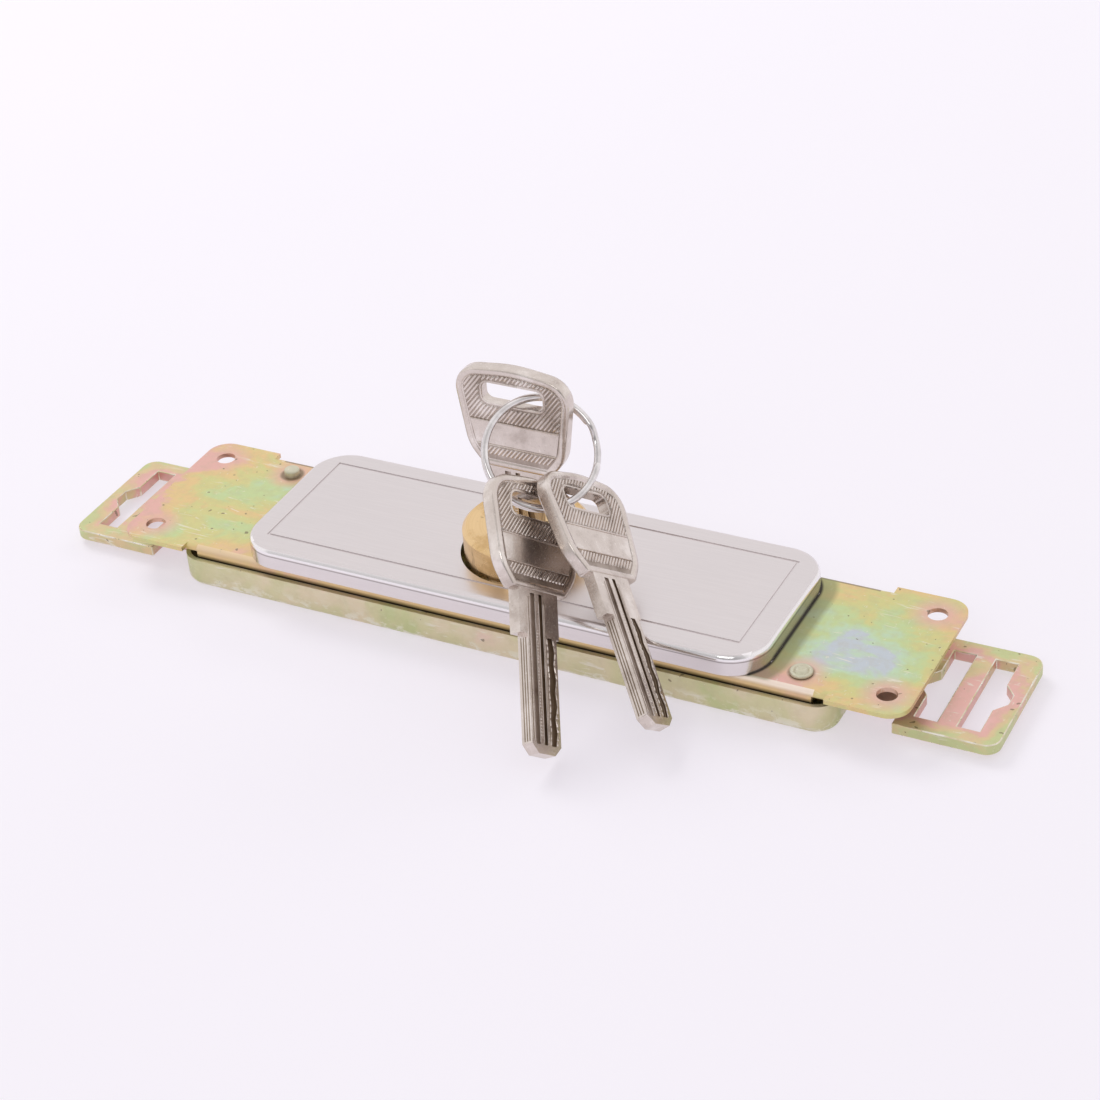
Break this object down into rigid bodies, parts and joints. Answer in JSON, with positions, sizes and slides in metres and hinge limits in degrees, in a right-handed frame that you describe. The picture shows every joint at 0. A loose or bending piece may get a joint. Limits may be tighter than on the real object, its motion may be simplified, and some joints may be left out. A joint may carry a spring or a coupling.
{
  "type": "roller shutter lock",
  "caption": "Surface mounted deadlock: folded case and plate, pressed cover, round cylinder, two flat slotted bolts thrown sideways by the plug's studs, key with spares on a split ring.",
  "frame": {"origin": "centre of the tray's flat back, the face that lies on the shutter", "axes": "+X along the lock to the right-hand bolt, +Y to the upper long edge, +Z out of the shutter along the cylinder and the key"},
  "size_m": [0.21, 0.0703, 0.0567],
  "materials": {
    "yellow_zinc": "yellow passivated zinc plate, iridescent",
    "stainless": "stainless steel, satin field and polished margin",
    "turned_brass": "turned and milled brass",
    "nickel_silver": "stamped nickel silver",
    "spring_steel": "bright drawn wire"
  },
  "bodies": {
    "base": {"case_tray": "yellow_zinc", "face_plate": "yellow_zinc", "cover": "stainless", "rivet_left": "yellow_zinc", "rivet_right": "yellow_zinc", "cylinder_body": "turned_brass", "chamber_strip": "turned_brass", "cylinder_screws": "yellow_zinc", "driver_pins": "turned_brass", "driver_springs": "spring_steel", "strap_right": "yellow_zinc", "strap_left": "yellow_zinc"},
    "plug_and_cam": {"plug": "turned_brass", "key_pins": "turned_brass", "cam_disc": "yellow_zinc", "cam_screws": "yellow_zinc", "drive_studs": "spring_steel"},
    "bolt_right": {"right_bolt": "yellow_zinc"},
    "bolt_left": {"left_bolt": "yellow_zinc"},
    "key": {"inserted_key": "nickel_silver"},
    "ring": {"split_ring": "spring_steel"},
    "spare_front": {"spare_key_front": "nickel_silver"},
    "spare_side": {"spare_key_side": "nickel_silver"}
  },
  "joints": [
    {"name": "plug_turn", "type": "hinge", "parent": "base", "child": "plug_and_cam", "pos_m": [0, 0, 0], "axis": [0, 0, 1], "range_deg": [-90, 0]},
    {"name": "bolt_right_slide", "type": "slide", "parent": "base", "child": "bolt_right", "axis": [1, 0, 0], "range_m": [-0.0099, 0]},
    {"name": "bolt_left_slide", "type": "slide", "parent": "base", "child": "bolt_left", "axis": [-1, 0, 0], "range_m": [-0.0099, 0]},
    {"name": "key_lift", "type": "slide", "parent": "plug_and_cam", "child": "key", "axis": [0, 0, 1], "range_m": [0, 0.019]},
    {"name": "ring_swing", "type": "hinge", "parent": "key", "child": "ring", "pos_m": [0.00234, 0, 0.04985], "axis": [-0.7202, -0.6902, -0.07], "range_deg": [0, 20]},
    {"name": "spare_front_swing", "type": "hinge", "parent": "ring", "child": "spare_front", "pos_m": [0.01075, -0.01239, 0.03354], "axis": [-0.8437, -0.5122, 0.1607], "range_deg": [0, 12]},
    {"name": "spare_side_swing", "type": "hinge", "parent": "ring", "child": "spare_side", "pos_m": [0.01544, -0.00808, 0.03386], "axis": [-1, 0, 0], "range_deg": [0, 15]}
  ],
  "couplings": [
    {"joint": "bolt_right_slide", "follows": "plug_turn", "m_per_rad": 0.0063022},
    {"joint": "bolt_left_slide", "follows": "plug_turn", "m_per_rad": 0.0063022}
  ]
}
